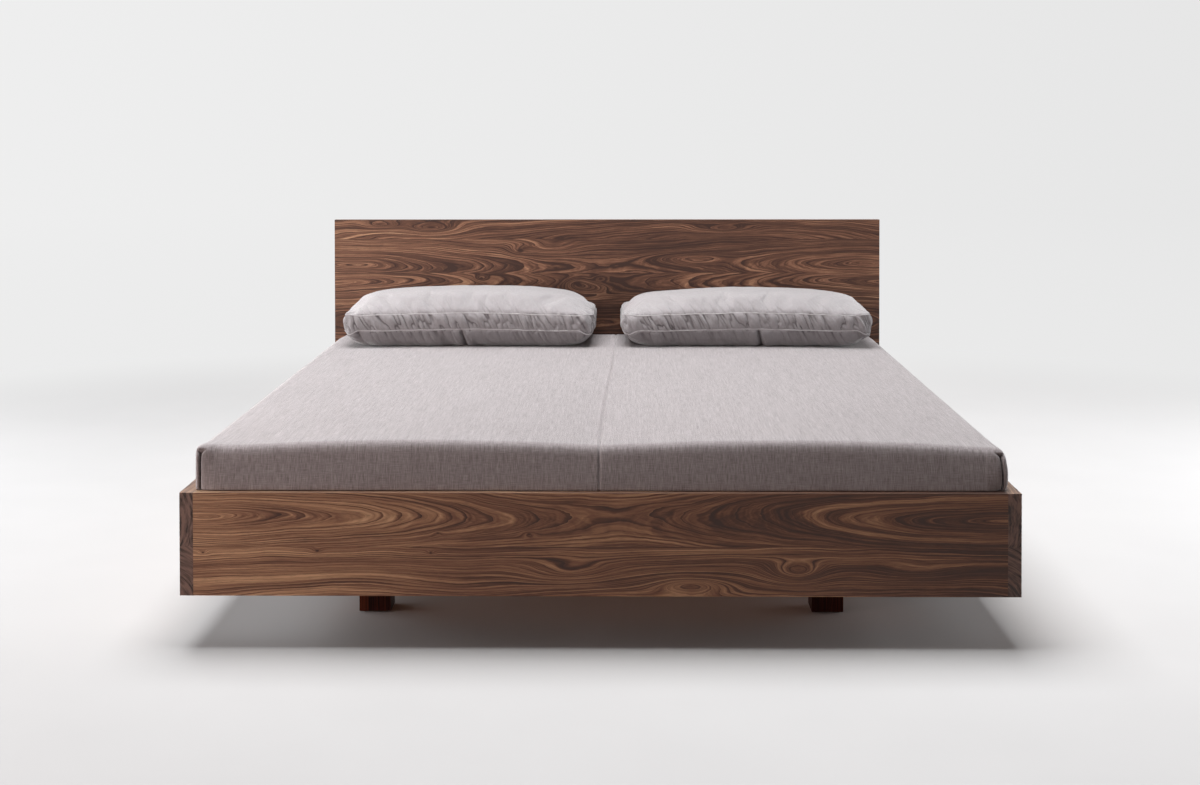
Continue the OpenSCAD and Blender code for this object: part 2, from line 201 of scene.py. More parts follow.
def walnut(name, along, across, staves, knots=(), swirls=(), patches=(), seed=0.0, tone=0.0, fade=0.0,
           gleam=1.0, contrast=1.0, shade_tint=None):
    """Oiled walnut for a CAD node as a solid texture: growth rings round each stave's heart, knots and
    pores. tone lightens the board, fade darkens it for each metre along, gleam scales its gloss,
    contrast scales its colour bands, shade_tint darkens it all with painted shade, and patches are
    lighter or darker places."""
    g = Shader("walnut_" + name, IOR=1.45, Specular_IOR_Level=0.42 * gleam)
    place = g.axes()
    normal = g.axes("Normal")
    i, j = "XYZ".index(along), "XYZ".index(across)
    k = 3 - i - j
    low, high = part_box(name)
    a, c = place[i], place[j]
    d = g.minus(place[k], (low[k] + high[k]) / 2)
    every = Stave(*zip(*staves))
    past = [g.math("GREATER_THAN", c, low) for low in every.low[1:]]

    def by_stave(values):
        """The value, out of one for each stave, of the stave that the point is in."""
        total = values[0]
        for step, low, high in zip(past, values, values[1:]):
            total = g.times_plus(step, high - low, total)
        return total

    def cloud(along_count, across_count, offset, size, detail=2.0):
        """Noise from -size to size with so many features per metre along and across the board."""
        place = g.vector(g.times(a, along_count), g.times(c, across_count), g.plus(shift, offset))
        return g.times_plus(g.noise(place, detail), 2.0 * size, -size)

    def hill(spot, length, height):
        """1 at a spot and 0 away from it."""
        x = g.math("DIVIDE", g.minus(a, spot.along), length)
        y = g.math("DIVIDE", g.minus(c, spot.across), height)
        return g.math("EXPONENT", g.times(g.times_plus(x, x, g.times(y, y)), -1.0))

    shift = g.times_plus(by_stave(range(len(staves))), 7.3, seed)

    # How far the point is from the heart of its tree
    off = g.minus(a, by_stave(every.middle))
    reach = g.math("SQRT", g.times_plus(off, off, 0.08))
    sink = g.times_plus(reach, by_stave(every.taper), by_stave(every.depth))
    sink = g.plus(g.plus(sink, d), cloud(1.7, 3.0, 0.0, 0.020))
    side = g.plus(g.minus(c, by_stave(every.heart)), cloud(2.6, 6.0, 3.1, 0.020))
    far = g.math("SQRT", g.times_plus(side, side, g.times(sink, sink)))
    for swirl in swirls:
        far = g.times_plus(hill(swirl, swirl.length, swirl.height), swirl.lift, far)
    dark = 0.0
    for knot in knots:
        far = g.times_plus(hill(knot, 5.0 * knot.size, 2.2 * knot.size), 2.4 * knot.size, far)
        dark = g.plus(hill(knot, 1.1 * knot.size, 0.7 * knot.size), dark)
    far = g.plus(far, cloud(9.0, 26.0, 5.7, 0.0032, 3.0))
    ring = g.times(far, RINGS)

    # Wide and narrow colour bands, dark late wood, fibres and pores
    band = g.noise(g.vector(g.times(ring, 0.40), g.times(a, 0.8), shift), 4.0, 0.72)
    narrow = g.noise(g.vector(g.times(ring, 1.35), g.times(a, 1.2), g.plus(shift, 1.7)), 3.0, 0.7)
    late = g.math("POWER", g.math("FRACT", ring), 5.0)
    strength = g.noise(g.vector(g.math("FLOOR", ring), g.times(a, 0.8), shift), 1.0)
    late = g.times(late, g.math("MULTIPLY_ADD", strength, 2.4, -0.5, clamp=True))
    strand = g.times_plus(far, 330.0, g.times(c, 70.0))
    fibre = g.noise(g.vector(g.times(a, 9.0), strand, g.times(d, 200.0)), 3.0, 0.7)
    pore = g.noise(g.scaled((a, c, d), 60.0, 1300.0, 1300.0), 1.0)

    # The shade of the wood, which the noises move up and down from 0.5
    wide, fine = BAND_STRENGTH * contrast, NARROW_STRENGTH * contrast
    value = g.times_plus(band, wide, tone - wide / 2 + 0.50)
    value = g.times_plus(narrow, fine, g.minus(value, fine / 2))
    value = g.times_plus(late, -LATE_STRENGTH, g.plus(value, 0.08))
    value = g.times_plus(fibre, FIBRE_STRENGTH, g.minus(value, FIBRE_STRENGTH / 2))
    value = g.plus(value, cloud(2.2, 7.0, 9.0, 0.12))
    value = g.plus(value, by_stave(every.tone))
    for patch in patches:
        value = g.times_plus(hill(patch, patch.length, patch.height), patch.lift, value)
    if fade:
        value = g.times_plus(a, -fade, value)
    if knots:
        value = g.times_plus(dark, -0.7, value)
    hole = g.ramp(pore, (0.28, 0.0), (0.42, 1.0))
    colour = g.mix(g.times_plus(hole, -0.40, 0.40), g.ramp(value, *WALNUT), PORE_COLOUR)
    # Painted shade: a colour multiplied over the whole board darkens it, for parts that stand in shade
    if shade_tint:
        colour = g.mix(1.0, colour, shade_tint, "MULTIPLY")

    # Thin glue lines between the staves, end grain, and painted shade that darkens the upper faces
    line = 1.0
    for low in every.low[1:]:
        line = g.math("MINIMUM", line, g.times(g.math("ABSOLUTE", g.minus(c, low)), 1400.0))
    colour = g.mix(g.times_plus(line, -0.25, 0.25), colour, GLUE_COLOUR)
    end = g.math("GREATER_THAN", g.math("ABSOLUTE", normal[i]), FACING)
    arcs = g.noise(g.vector(g.times(ring, 0.75), g.times(c, 26.0), shift), 3.0, 0.7)
    cut = g.ramp(g.plus(arcs, tone), *END_GRAIN)
    # Painted shade: faces that look up the board's across axis are darkened toward a grey brown
    upper = g.math("GREATER_THAN", normal[j], FACING)
    colour = g.mix(g.times(upper, 0.42), colour, UPPER_FACE_SHADE_COLOUR)
    g.colour(g.mix(end, colour, cut))
    g.roughness(fibre, 0.36, 0.60)
    g.bump((hole, 0.00012), (late, -0.00006))
    return g.material


def beech(along):
    """Pale sanded beech with short flecks and faint straight rings."""
    g = Shader("beech_along_" + along, IOR=1.45, Specular_IOR_Level=0.4)

    def grain(along_count, across_count, detail, roughness=0.5):
        counts = (along_count if axis == along else across_count for axis in "XYZ")
        return g.speckle(*counts, detail=detail, roughness=roughness)

    broad = grain(3.0, 26.0, 3.0, 0.55)
    fleck = grain(95.0, 620.0, 1.0)
    fine = grain(9.0, 260.0, 3.0, 0.6)
    value = g.times_plus(fine, 0.5, g.times(broad, 0.6))
    colour = g.ramp(value, (0.2, (0.40, 0.25, 0.14)), (0.55, (0.62, 0.43, 0.26)), (0.9, (0.76, 0.58, 0.39)))
    dots = g.ramp(fleck, (0.30, 1.0), (0.38, 0.0))
    g.colour(g.mix(g.times(dots, 0.5), colour, (0.34, 0.20, 0.11)))
    g.roughness(fine, 0.45, 0.65)
    g.bump((fine, 0.0001))
    return g.material


def zinc_steel():
    g = Shader("zinc_plated_steel", Metallic=1.0)
    spangle, scratch = g.speckle(160.0), g.speckle(900.0, 60.0, 900.0)
    g.colour(g.ramp(spangle, (0.3, (0.42, 0.42, 0.42)), (0.7, (0.66, 0.66, 0.64))))
    g.roughness(scratch, 0.28, 0.5)
    g.bump((scratch, 0.00004))
    return g.material


def slat_rubber():
    g = Shader("slat_cap_rubber")
    grain, mottle = g.speckle(700.0), g.speckle(9.0, detail=1.0)
    g.colour(g.ramp(mottle, (0.3, (0.19, 0.165, 0.135)), (0.7, (0.25, 0.215, 0.18))))
    g.roughness(grain, 0.6, 0.8)
    g.bump((grain, 0.0001))
    return g.material


def webbing():
    """Ribs across the strap and cords along it, as two waves."""
    g = Shader("slat_strap_webbing", Sheen_Weight=0.2)
    x, y, z = g.axes()
    ribs = g.math("SINE", g.times(y, 2600.0))
    cords = g.math("SINE", g.times(x, 3300.0))
    weave = g.times_plus(g.times(ribs, cords), 0.5, 0.5)
    g.colour(g.ramp(weave, (0.0, (0.055, 0.050, 0.050)), (1.0, (0.125, 0.115, 0.112))))
    g.roughness(weave, 0.75, 0.9)
    g.bump((weave, 0.0003))
    return g.material


def felt():
    g = Shader("glide_felt", Sheen_Weight=0.4)
    fuzz = g.speckle(1500.0, detail=3.0, roughness=0.7)
    g.colour(g.ramp(fuzz, (0.3, (0.030, 0.027, 0.026)), (0.7, (0.085, 0.078, 0.074))))
    g.roughness(fuzz, 0.85, 0.98)
    g.bump((fuzz, 0.0003))
    return g.material


def cloth(name, dark, light, thread, slub, contrast, sheen, reach=1.0, shade=None):
    """A woven cloth. Warp threads run along Y on top and down the foot end, and wefts cross them.
    thread is their width and slub how long a thick place in one is, which is reach times more on top.
    shade names a mesh attribute that darkens the cloth with painted shade, in its creases and other shaded
    places."""
    g = Shader(name, Sheen_Weight=sheen, Sheen_Roughness=0.5, Specular_IOR_Level=0.2)
    x, y, z = g.axes()
    nx, ny, nz = g.axes("Normal")
    on_side = g.math("GREATER_THAN", g.math("ABSOLUTE", nx), 0.7)
    off_side = g.minus(1.0, on_side)
    on_top = g.math("GREATER_THAN", nz, 0.75)
    across = g.plus(g.times(x, off_side), g.times(z, on_side))
    down = g.plus(y, g.times(z, off_side))
    long = g.times(down, g.times_plus(on_top, 1.0 / reach - 1.0, 1.0))

    def threads(across_size, along, along_size, offset):
        place = g.vector(g.math("DIVIDE", across, across_size), g.math("DIVIDE", along, along_size), offset)
        return g.noise(place, 2.0, 0.6)

    def wave(coordinate):
        return g.math("SINE", g.times(coordinate, 2.0 * math.pi / thread))

    warp = threads(thread, long, slub, 0.0)
    weft = threads(slub, down, thread, 4.0)
    broad = threads(4.0 * thread, long, 4.0 * slub, 8.0)
    value = g.times_plus(warp, 0.50, g.times(weft, 0.30))
    value = g.times_plus(broad, 0.20, value)
    value = g.times_plus(g.minus(value, 0.5), contrast, 0.5)
    colour = g.ramp(value, (0.0, dark), (1.0, light))
    if shade:
        # Painted shade: the attribute darkens the cloth toward a shade colour
        colour = g.mix(g.add("Attribute", attribute_name=shade).outputs["Fac"], colour, CREASE_SHADE_COLOUR)
    g.colour(colour)
    g.roughness(warp, 0.8, 0.95)
    g.bump((g.times(wave(across), wave(down)), 0.00010), (warp, 0.00030))
    return g.material


# -------- materials on the CAD nodes

SIDES = ("left", "right")


def dress(names, material, ease=0.0):
    """Gives CAD nodes a material, and a small bevel as wide as ease on their edges."""
    for node in (NODES[name] for name in names):
        node.data.materials.clear()
        node.data.materials.append(material)
        if ease:
            bevel = node.modifiers.new("eased_edges", "BEVEL")
            bevel.width = ease
            bevel.segments = 2
            bevel.limit_method = "ANGLE"
            bevel.angle_limit = math.radians(40)


BOARD_EASE, FOOT_EASE, BEECH_EASE = 0.0012, 0.003, 0.0015

# The foot rail: two staves. The rings of the upper one open into a long arch at each end
low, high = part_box("foot_rail")
rail_low, RAIL_TOP = low.z, high.z
rail_glue = rail_low + 0.48 * (RAIL_TOP - rail_low)
dress(["foot_rail"], walnut(
    "foot_rail", "X", "Z",
    staves=[Stave(rail_low, rail_low - 0.035, 0.050, 0.03, 0.15, 0.00),
            Stave(rail_glue, rail_glue + 0.066, 0.118, -0.108, 0.03, 0.02)],
    knots=[Knot(-0.628, rail_glue - 0.010, 0.0030), Knot(-0.883, rail_glue - 0.014, 0.0025),
           Knot(-0.375, rail_glue - 0.014, 0.0025), Knot(-0.359, rail_glue + 0.030, 0.0022),
           Knot(-0.156, rail_glue + 0.028, 0.0030)],
    swirls=[Spot(-0.060, rail_low + 0.050, 0.110, 0.028, 0.034),
            Spot(-0.330, rail_low + 0.020, 0.150, 0.030, 0.012),
            Spot(0.200, rail_low + 0.028, 0.090, 0.020, -0.030),
            Spot(0.437, rail_low + 0.052, 0.070, 0.026, 0.036),
            Spot(0.700, rail_low + 0.050, 0.120, 0.022, 0.016)],
    patches=[Spot(-0.22, rail_glue, 0.16, 0.30, -0.09), Spot(-0.86, rail_glue, 0.30, 0.30, 0.05)],
    seed=2.0, tone=-0.06, fade=0.19), BOARD_EASE)

for side, seed in (("left", 11.0), ("right", 23.0)):
    dress(["side_rail_" + side], walnut(
        "side_rail_" + side, "Y", "Z",
        staves=[Stave(rail_low, rail_low - 0.030, 0.05, 0.03, -0.3, -0.02),
                Stave(rail_glue, rail_glue + 0.060, 0.06, 0.05, 0.4, 0.02)],
        knots=[Knot(-0.4, rail_glue + 0.04, 0.004), Knot(0.55, rail_low + 0.06, 0.005)],
        swirls=[Spot(0.1, rail_low + 0.05, 0.10, 0.025, 0.03),
                Spot(-0.55, rail_glue + 0.05, 0.12, 0.03, 0.02)],
        seed=seed, tone=0.02), BOARD_EASE)

# The headboard: seven staves, with a book-matched pair below and above the line called match
low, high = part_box("headboard")
head_top = high.z
glue_1, glue_2, glue_3, glue_4, match, glue_6 = (
    head_top - drop for drop in (0.640, 0.530, 0.413, 0.2965, 0.1825, 0.066))
dress(["headboard"], walnut(
    "headboard", "X", "Z",
    staves=[Stave(low.z, low.z - 0.03, 0.06, 0.04, 0.3, -0.03),
            Stave(glue_1, glue_1 - 0.02, 0.05, 0.05, -0.2, 0.00),
            Stave(glue_2, glue_2 - 0.03, 0.06, 0.04, 0.4, -0.04),
            Stave(glue_3, glue_3 + 0.06, 0.05, 0.05, 0.0, -0.06),
            Stave(glue_4, match - 0.028, 0.120, -0.110, 0.02, 0.02),
            Stave(match, match + 0.028, 0.120, -0.110, 0.02, 0.02),
            Stave(glue_6, glue_6 - 0.03, 0.05, 0.06, 0.35, 0.00)],
    knots=[Knot(-0.297, head_top - 0.106, 0.0075), Knot(-0.430, match - 0.018, 0.005),
           Knot(-0.101, match - 0.037, 0.0085), Knot(-0.020, match - 0.020, 0.004)],
    swirls=[Spot(-0.60, head_top - 0.030, 0.10, 0.022, 0.030),
            Spot(-0.20, head_top - 0.100, 0.10, 0.026, 0.024),
            Spot(0.28, match + 0.050, 0.12, 0.020, -0.020),
            Spot(0.40, head_top - 0.034, 0.12, 0.016, 0.024),
            Spot(-0.06, match - 0.050, 0.07, 0.020, 0.022),
            Spot(-0.78, head_top - 0.020, 0.08, 0.018, 0.018)],
    patches=[Spot(-0.05, match, 0.55, 0.80, -0.10), Spot(-0.90, match, 0.25, 0.80, 0.05)],
    seed=31.0, tone=-0.27, fade=0.025, contrast=0.78), BOARD_EASE)

# Each foot is glued up of two staves, the narrow one on the outer side
FOOT_NARROW = 0.29
for index, (end, side) in enumerate((e, s) for e in ("front", "rear") for s in SIDES):
    name = f"foot_{end}_{side}"
    low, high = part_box(name)
    narrow = FOOT_NARROW * (high.x - low.x)
    glue, tones = (low.x + narrow, (0.25, -0.15)) if side == "left" else (high.x - narrow, (-0.15, -0.05))
    dress([name], walnut(
        name, "Z", "X",
        staves=[Stave(low.x, low.x - 0.03, 0.03, 0.05, 0.0, tones[0]),
                Stave(glue, glue + 0.03, 0.04, 0.04, 0.0, tones[1])],
        # The feet stand in the shade under the frame, which is painted into them by the multiplied colour
        seed=40.0 + 3.0 * index, gleam=0.25, shade_tint=(0.13, 0.05, 0.04)), FOOT_EASE)

beech_x, beech_y = beech("X"), beech("Y")
dress(("cross_beam_front", "cross_beam_rear"), beech_x, BEECH_EASE)
dress(("ledger_left", "ledger_right", "centre_beam"), beech_y, BEECH_EASE)
dress(("corner_dowels",), beech_x)
for material, parts in ((beech_y, ("outer_rail", "inner_rail")),
                        (beech_x, ("head_rail", "foot_rail", "slats"))):
    dress([f"{side}_base_{part}" for side in SIDES for part in parts], material, BEECH_EASE)
dress([side + "_base_slat_caps" for side in SIDES], slat_rubber())
dress([side + "_base_strap" for side in SIDES], webbing())
dress([name for name in NODES if any(word in name for word in ("screws", "bolt", "bracket", "hangers"))],
      zinc_steel())
dress(["foot_glides"], felt())


# -------- mesh helpers

def value_noise(points, seed):
    """Smooth noise from -1 to 1 at each point, with one cell per unit."""
    cell = np.floor(points).astype(np.int64)
    part = points - cell
    part = part * part * (3.0 - 2.0 * part)
    total = np.zeros(len(points))
    for corner in np.ndindex(2, 2, 2):
        at = cell + corner
        key = at[:, 0] * 374761393 + at[:, 1] * 668265263 + at[:, 2] * 1274126177 + seed * 362437
        key = (key ^ (key >> 13)) & 0x7FFFFFFF
        key = (key * 1103515245 + 12345) & 0x7FFFFFFF
        key = ((key ^ (key >> 15)) * 1103515245) & 0x7FFFFFFF
        total += (key / 0x3FFFFFFF - 1.0) * np.prod(np.where(corner, part, 1.0 - part), axis=1)
    return total


def smooth_step(value, low, high):
    t = np.clip((value - low) / (high - low), 0.0, 1.0)
    return t * t * (3.0 - 2.0 * t)


def mesh_object(name, points, faces, material):
    mesh = bpy.data.meshes.new(name)
    mesh.from_pydata([tuple(p) for p in points], [], faces)
    mesh.validate()
    mesh.shade_smooth()
    mesh.materials.append(material)
    piece = bpy.data.objects.new(name, mesh)
    bpy.context.scene.collection.objects.link(piece)
    return piece


def vertices(piece, what="co"):
    """The places of a mesh's vertices, or another vector of each."""
    flat = np.zeros(len(piece.data.vertices) * 3)
    piece.data.vertices.foreach_get(what, flat)
    return flat.reshape(-1, 3)


def shown(piece):
    """The piece as its modifiers make it."""
    return piece.evaluated_get(bpy.context.evaluated_depsgraph_get())


def set_points(piece, points):
    piece.data.vertices.foreach_set("co", np.ascontiguousarray(points).ravel())
    piece.data.update()


def subdivide(piece, name="smooth", levels=1):
    modifier = piece.modifiers.new(name, "SUBSURF")
    modifier.levels = modifier.render_levels = levels
    return modifier


def bell(distance, width):
    """1 where the distance is 0, and falling to 0 at about twice the width."""
    return np.exp(-(distance / width) ** 2)


def unit(vectors):
    return vectors / np.linalg.norm(vectors, axis=1)[:, None]


def ahead_on(loop):
    """The direction along a closed loop at each of its points."""
    return unit(np.roll(loop, -1, axis=0) - np.roll(loop, 1, axis=0))


def grid_faces(columns, rows):
    """The faces of a grid of vertices with so many cells each way."""
    across = columns + 1
    return [(i * across + j, i * across + j + 1, (i + 1) * across + j + 1, (i + 1) * across + j)
            for i in range(rows) for j in range(columns)]


def band(below, above):
    """The faces between two closed rings of vertices."""
    count = len(below)
    return [(below[k], below[(k + 1) % count], above[(k + 1) % count], above[k]) for k in range(count)]


def resampled(path, count):
    """count points evenly along a path of points."""
    path = np.array(path, float)
    gone = np.concatenate([[0.0], np.cumsum(np.linalg.norm(np.diff(path, axis=0), axis=1))])
    at = np.linspace(0.0, gone[-1], count)
    return np.stack([np.interp(at, gone, path[:, k]) for k in range(path.shape[1])], axis=1)


def tube(name, loop, radius, material, sides=8):
    """A closed tube along a loop of points."""
    ahead = ahead_on(loop)
    side = unit(np.cross(ahead, (0.0, 0.0, 1.0)))
    top = np.cross(side, ahead)
    turn = np.linspace(0.0, 2.0 * math.pi, sides, endpoint=False)
    rings = (loop[:, None, :] + radius * (np.cos(turn)[None, :, None] * side[:, None, :]
                                          + np.sin(turn)[None, :, None] * top[:, None, :]))
    rows = [np.arange(sides) + i * sides for i in range(len(loop))]
    faces = [face for row, after in zip(rows, rows[1:] + rows[:1]) for face in band(row, after)]
    return mesh_object(name, rings.reshape(-1, 3), faces, material)


# -------- the cover

cover_cloth = cloth("cover_cloth", (0.121, 0.098, 0.101), (0.464, 0.430, 0.435), thread=0.0016,
                    slub=0.026, contrast=2.5, sheen=0.45, reach=3.0)
pillow_cloth = cloth("pillow_cloth", (0.225, 0.208, 0.214), (0.420, 0.400, 0.406), thread=0.0010,
                     slub=0.012, contrast=1.5, sheen=0.50, shade="crease")
piping_cloth = cloth("piping_cloth", (0.340, 0.322, 0.328), (0.520, 0.502, 0.508), thread=0.0008,
                     slub=0.004, contrast=1.3, sheen=0.35)
ticking = cloth("mattress_ticking", (0.560, 0.540, 0.500), (0.760, 0.740, 0.700), thread=0.0012,
                slub=0.010, contrast=1.4, sheen=0.1)

cover_low, cover_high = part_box("bed_cover")
HALF_X, HALF_Y = cover_high.x, cover_high.y
COVER_TOP, COVER_HEM = cover_high.z, cover_low.z
INSET = 0.040          # from the outline in to the flat field of the top
EDGE_ROUND = 0.013     # radius of the top edges
EDGE_STEPS = 8
COVER_STEP = 0.016     # size of a mesh cell
CROWN = 0.0125         # how far each half stands up in the middle at the foot end
PAD = 0.0045           # how far the whole top stands up there
SEAM_SKEW = 0.031      # how far the centre seam wanders to the right at the head
SEAM_DEPTH, SEAM_WIDTH = 2.4 * MM, 0.0022
CORNER_RADIUS = 0.007  # of the corners in plan, where they are plain
CORNER_POINTS = 44
COVER_SKIN = 0.0016    # thickness of the cloth
TOP_GAP = 0.001        # from the top down to the flat field, for the cloth and its threads


def seam_x(y):
    """Where the cover's centre seam lies at each place along the bed."""
    return SEAM_SKEW * smooth_step(y, -HALF_Y, 0.9 * HALF_Y)


def corner_paths(count):
    """A corner in plan, from the side wall round to the foot wall, in (in from the side, in from the
    foot): first plain and rounded, then with the side's cloth tucked under the foot's folded edge."""
    r = CORNER_RADIUS
    plain = [(0.0, 0.036)] + [(r * (1 - math.cos(t)), r * (1 - math.sin(t)))
                              for t in np.linspace(0.0, math.pi / 2, 9)] + [(0.044, 0.0)]
    # In millimetres: along the side, in under the fold, back out to its edge and along the foot
    pleat = [(0.0, 36.0), (0.0, 15.0), (0.6, 7.0), (2.6, 2.4), (5.6, 0.6), (8.4, 0.9), (10.0, 3.2),
             (10.6, 6.5), (12.2, 9.2), (19.0, 9.6), (29.0, 9.2), (32.0, 7.8), (29.0, 6.6), (17.0, 6.2),
             (14.4, 5.2), (13.0, 3.0), (13.5, 0.7), (16.0, -0.4), (21.0, -0.8), (32.0, -0.4), (44.0, 0.0)]
    return resampled(plain, count), resampled(np.array(pleat) * MM, count)


def bulge(z, x, y):
    """How far the cover swells out over the rails at each height. It stays flat at the headboard."""
    heights = np.array((-0.350, -0.003, 0.0008, 0.0025, 0.010, 0.040, 0.075, 0.095)) + RAIL_TOP
    left, middle, right = (np.interp(z, heights, (0.0, 0.0, 0.0035, *outs)) for outs in (
        (0.0090, 0.0090, 0.0090, 0.0090, 0.0070),
        (0.0160, 0.0160, 0.0120, 0.0050, -0.0030),
        (0.0095, 0.0150, 0.0160, 0.0090, 0.0010)))
    aside = smooth_step(np.abs(x), HALF_X - 0.05, HALF_X - 0.005)
    out = middle + (np.where(x < 0, left, right) - middle) * aside
    return out * (1.0 - smooth_step(y, HALF_Y - 0.10, HALF_Y - 0.03))


def build_cover():
    xs = np.linspace(-HALF_X + INSET, HALF_X - INSET, 2 * round((HALF_X - INSET) / COVER_STEP) + 1)
    near_seam = np.array([-0.0105, -0.0065, -0.004, -0.002, 0.0, 0.002, 0.004, 0.0065, 0.0105])
    xs = np.sort(np.concatenate([xs[np.abs(xs) > 0.013], near_seam]))
    ys = np.linspace(-HALF_Y + INSET, HALF_Y - INSET, 2 * round((HALF_Y - INSET) / COVER_STEP) + 1)
    nx, ny = len(xs), len(ys)
    plain, pleat = corner_paths(CORNER_POINTS)

    # The outline in plan: (anchor in the top grid, plain place, pleated place), counter-clockwise from
    # the front left corner
    ring = []

    def corner(sx, sy, anchor, reverse):
        order = range(len(plain) - 1, -1, -1) if reverse else range(len(plain))
        for k in order:
            ring.append((anchor, (sx * (HALF_X - plain[k][0]), sy * (HALF_Y - plain[k][1])),
                         (sx * (HALF_X - pleat[k][0]), sy * (HALF_Y - pleat[k][1]))))

    def straight(cells):
        for anchor, x, y in cells:
            ring.append((anchor, (x, y), (x, y)))

    corner(-1, -1, 0, False)
    straight((j, xs[j], -HALF_Y) for j in range(nx))
    corner(1, -1, nx - 1, True)
    straight((i * nx + nx - 1, HALF_X, ys[i]) for i in range(ny))
    corner(1, 1, ny * nx - 1, False)
    straight(((ny - 1) * nx + j, xs[j], HALF_Y) for j in range(nx - 1, -1, -1))
    corner(-1, 1, (ny - 1) * nx, True)
    straight((i * nx, -HALF_X, ys[i]) for i in range(ny - 1, -1, -1))
    anchors = np.array([r[0] for r in ring])
    plain_ring, pleat_ring = (np.array([r[k] for r in ring]) for k in (1, 2))
    count = len(ring)

    grid_x, grid_y = np.meshgrid(xs, ys)
    top = np.stack([grid_x.ravel(), grid_y.ravel(), np.zeros(nx * ny)], axis=1)
    layers = [top]
    turns = np.linspace(0.0, math.pi / 2, EDGE_STEPS)
    flat = (INSET - EDGE_ROUND) / INSET
    profile = [(flat + (1 - flat) * math.sin(t), -EDGE_ROUND * (1 - math.cos(t))) for t in turns]
    # Levels of the side wall, counted up from the rails' top, where the cover dips into the frame
    over = (0.072, 0.058, 0.044, 0.030, 0.018, 0.008, 0.0045, 0.0025, 0.0008,
            -0.003, -0.010, -0.022, -0.038)
    levels = [COVER_TOP - EDGE_ROUND - 0.005] + [RAIL_TOP + o for o in over] + [COVER_HEM]
    profile += [(1.0, level - COVER_TOP) for level in levels]
    anchor_xy = top[anchors, :2]
    for share, drop in profile:
        fold = float(smooth_step(-drop, 0.006, 0.022))
        outer = plain_ring + (pleat_ring - plain_ring) * fold
        out = bulge(np.full(count, COVER_TOP + drop), *outer.T)
        core = np.array((HALF_X, HALF_Y)) - 0.05
        outer = outer + unit(outer - np.clip(outer, -core, core)) * out[:, None]
        place = anchor_xy + (outer - anchor_xy) * share
        layers.append(np.column_stack([place, np.full(count, drop)]))
    points = np.concatenate(layers)

    faces = grid_faces(nx - 1, ny - 1)
    first = nx * ny
    for k in range(count):
        n = (k + 1) % count
        if anchors[k] == anchors[n]:
            faces.append((anchors[k], first + k, first + n))
        else:
            faces.append((anchors[k], first + k, first + n, anchors[n]))
    for layer in range(len(profile) - 1):
        base = first + layer * count
        for k in range(count):
            n = (k + 1) % count
            faces.append((base + k, base + count + k, base + count + n, base + n))

    # The seam wanders, each half is crowned, and the edges sag a little between the corners
    x, y = points[:, 0].copy(), points[:, 1]
    points[:, 0] += seam_x(y) * np.clip(1.0 - np.abs(x) / 0.45, 0.0, 1.0)
    half = np.clip(np.abs(x) / HALF_X, 0.0, 1.0)
    arch = np.sin(math.pi * half) ** 0.8
    foot_end = 1.0 - smooth_step(y, -0.9 * HALF_Y, 0.62 * HALF_Y)
    lift = (CROWN * arch + PAD * (1.0 - half ** 3)) * foot_end
    sag = np.where(x < 0, 0.0025, 0.0050) * half ** 6
    points[:, 2] += smooth_step(points[:, 2], -0.06, -0.002) * (lift - sag)
    # The folded corners at the foot end stand up a little
    near = bell(np.hypot(HALF_X - np.abs(x), y + HALF_Y), 0.055)
    points[:, 2] += smooth_step(points[:, 2], -0.09, -0.02) * np.where(x < 0, 0.0085, 0.0035) * near
    points[:, 2] += COVER_TOP - TOP_GAP

    piece = mesh_object("fitted_bed_cover", points, [f[::-1] for f in faces], cover_cloth)
    normal = vertices(piece, "normal")
    if normal[nx * ny // 2, 2] < 0:
        piece.data.flip_normals()
        normal = vertices(piece, "normal")
    x, y, z = points.T
    across = x - seam_x(y)
    # Slack cloth, ripples that run along it beside the seam, pulls down the sides, and the sunk seam
    slack = 0.9 * value_noise(points * (4.0, 3.0, 8.0), 3)
    slack += 0.35 * value_noise(points * (11.0, 9.0, 20.0), 4)
    ripples = value_noise(points * (9.0, 46.0, 46.0), 5) * bell(across - 0.13, 0.11)
    ripples += 0.7 * value_noise(points * (10.0, 40.0, 40.0), 6) * bell(across + 0.10, 0.07)
    pulls = value_noise(points * (24.0, 24.0, 5.0), 7) * smooth_step(-z, -RAIL_TOP - 0.085, -RAIL_TOP)
    seam = 0.7 * MM * bell(np.abs(across) - 0.0068, 0.004) - SEAM_DEPTH * bell(across, SEAM_WIDTH)
    on_top = smooth_step(normal[:, 2], 0.2, 0.8)
    shift = MM * (slack + 0.45 * ripples * on_top + 0.5 * pulls * (1.0 - on_top)) + seam
    shift += 0.8 * MM * (z < COVER_HEM + 0.022)
    set_points(piece, points + normal * shift[:, None])
    solid = piece.modifiers.new("thickness", "SOLIDIFY")
    solid.thickness = COVER_SKIN
    solid.offset = -1.0
    subdivide(piece)
    return piece


cover = build_cover()
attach(cover, "mattresses")
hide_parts("bed_cover")


# -------- the mattresses

MATTRESS_ROUND = 0.020
MATTRESS_STEP = 0.022   # size of a mesh cell
MATTRESS_GAP = 0.0015   # from the sides and the top of the CAD solid
QUILT = 0.16            # size of a diamond of the quilting
SHOULDER = 0.012        # how far the outer edge sinks, to stay under the cover


def eased(low, high, radius, step):
    """Places from low to high, close together where an edge is rounded."""
    near = radius * np.array([0.0, 0.12, 0.35, 0.65])
    count = max(2, round((high - low - 2 * radius) / step)) + 1
    return np.concatenate([low + near, np.linspace(low + radius, high - radius, count), high - near[::-1]])


